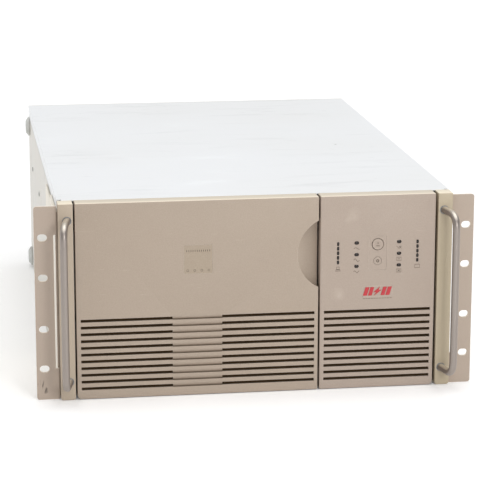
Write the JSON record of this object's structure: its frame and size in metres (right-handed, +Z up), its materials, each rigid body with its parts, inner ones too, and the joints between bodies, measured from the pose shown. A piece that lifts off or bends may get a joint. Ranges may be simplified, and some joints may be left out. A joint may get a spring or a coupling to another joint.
{
  "type": "rackmount ups",
  "caption": "Low, wide 5U rack power-supply box with louvred twin front bezels, corner handles, slotted rack ears, indicator panel and a pull-out battery drawer.",
  "frame": {"origin": "middle of the underside of the box round the whole object", "axes": "+Z up; the front, with the bezels and handles, faces -Y; +X to the right seen from the front"},
  "size_m": [0.4826, 0.681, 0.2182],
  "materials": {
    "white_paint": "worn off-white powder coat",
    "zinc_steel": "zinc plated",
    "fan_wire": "dull nickel plate",
    "beige_paint": "beige powder coat",
    "handle_metal": "satin",
    "beige_plastic": "fine moulded grain",
    "lens_plastic": "dark smoked",
    "red_plastic": "satin",
    "circuit_board": "solder mask",
    "battery_case": "moulded",
    "connector_grey": "moulded",
    "core_steel": "varnished laminations",
    "winding_tape": "wound tape",
    "aluminium": "extruded",
    "capacitor_sleeve": "shrink sleeve",
    "black_plastic": "moulded",
    "foot_rubber": "moulded light grey"
  },
  "bodies": {
    "chassis": {"base_tray": "white_paint", "top_cover": "white_paint", "rear_panel": "white_paint", "front_frame": "zinc_steel", "bay_divider": "zinc_steel", "handle_column_left": "beige_paint", "handle_column_right": "beige_paint", "handle_left": "handle_metal", "handle_right": "handle_metal", "rack_ear_left": "beige_paint", "rack_ear_right": "beige_paint", "transformer_core": "core_steel", "transformer_winding": "winding_tape", "inverter_board": "circuit_board", "control_board": "circuit_board", "heatsink_left": "aluminium", "heatsink_right": "aluminium", "capacitor_front": "capacitor_sleeve", "capacitor_rear": "capacitor_sleeve", "fan_frame_lower": "black_plastic", "fan_frame_upper": "black_plastic", "fan_guard_lower": "fan_wire", "fan_guard_upper": "fan_wire", "outlet_a1": "black_plastic", "outlet_a2": "black_plastic", "outlet_a3": "black_plastic", "outlet_b1": "black_plastic", "outlet_b2": "black_plastic", "outlet_b3": "black_plastic", "outlet_large_1": "black_plastic", "outlet_large_2": "black_plastic", "accessory_slot_cover": "zinc_steel", "serial_port": "zinc_steel", "battery_socket": "connector_grey", "input_terminal_cover": "zinc_steel", "input_breaker": "black_plastic", "side_foot_lower": "foot_rubber", "side_foot_upper": "foot_rubber"},
    "battery_drawer": {"battery_tray": "zinc_steel", "battery_pack_left": "battery_case", "battery_pack_right": "battery_case", "battery_connector_left": "connector_grey", "battery_connector_right": "connector_grey", "pack_retainer": "zinc_steel"},
    "battery_bezel": {"left_bezel": "beige_plastic", "label_plate": "beige_paint"},
    "control_bezel": {"right_bezel": "beige_plastic", "button_plate": "beige_paint", "front_emblem": "red_plastic", "load_lens_strip": "lens_plastic", "status_lens_strip": "lens_plastic", "warning_lens_strip": "lens_plastic", "charge_lens_strip": "lens_plastic", "display_board": "circuit_board"},
    "test_button": {"test_button": "beige_plastic"},
    "off_button": {"off_button": "beige_plastic"},
    "fan_rotor_lower": {"fan_rotor_lower": "black_plastic"},
    "fan_rotor_upper": {"fan_rotor_upper": "black_plastic"},
    "breaker_reset_a": {"breaker_reset_a": "black_plastic"},
    "breaker_reset_b": {"breaker_reset_b": "black_plastic"}
  },
  "joints": [
    {"name": "battery_drawer_slide", "type": "slide", "parent": "chassis", "child": "battery_drawer", "axis": [0, -1, 0], "range_m": [0, 0.42]},
    {"name": "battery_bezel_pull", "type": "slide", "parent": "battery_drawer", "child": "battery_bezel", "axis": [0, -1, 0], "range_m": [0, 0.1]},
    {"name": "control_bezel_pull", "type": "slide", "parent": "chassis", "child": "control_bezel", "axis": [0, -1, 0], "range_m": [0, 0.1]},
    {"name": "test_button_press", "type": "slide", "parent": "control_bezel", "child": "test_button", "axis": [0, 1, 0], "range_m": [0, 0.0015], "stiffness_N_per_m": 500, "springref_m": -0.0015},
    {"name": "off_button_press", "type": "slide", "parent": "control_bezel", "child": "off_button", "axis": [0, 1, 0], "range_m": [0, 0.0015], "stiffness_N_per_m": 500, "springref_m": -0.0015},
    {"name": "fan_lower_spin", "type": "hinge", "parent": "chassis", "child": "fan_rotor_lower", "pos_m": [0.15, 0.31847, 0.057], "axis": [0, 1, 0], "continuous": true},
    {"name": "fan_upper_spin", "type": "hinge", "parent": "chassis", "child": "fan_rotor_upper", "pos_m": [0.15, 0.31847, 0.161], "axis": [0, 1, 0], "continuous": true},
    {"name": "breaker_trip_a", "type": "slide", "parent": "chassis", "child": "breaker_reset_a", "axis": [0, 1, 0], "range_m": [0, 0.005]},
    {"name": "breaker_trip_b", "type": "slide", "parent": "chassis", "child": "breaker_reset_b", "axis": [0, 1, 0], "range_m": [0, 0.005]}
  ]
}
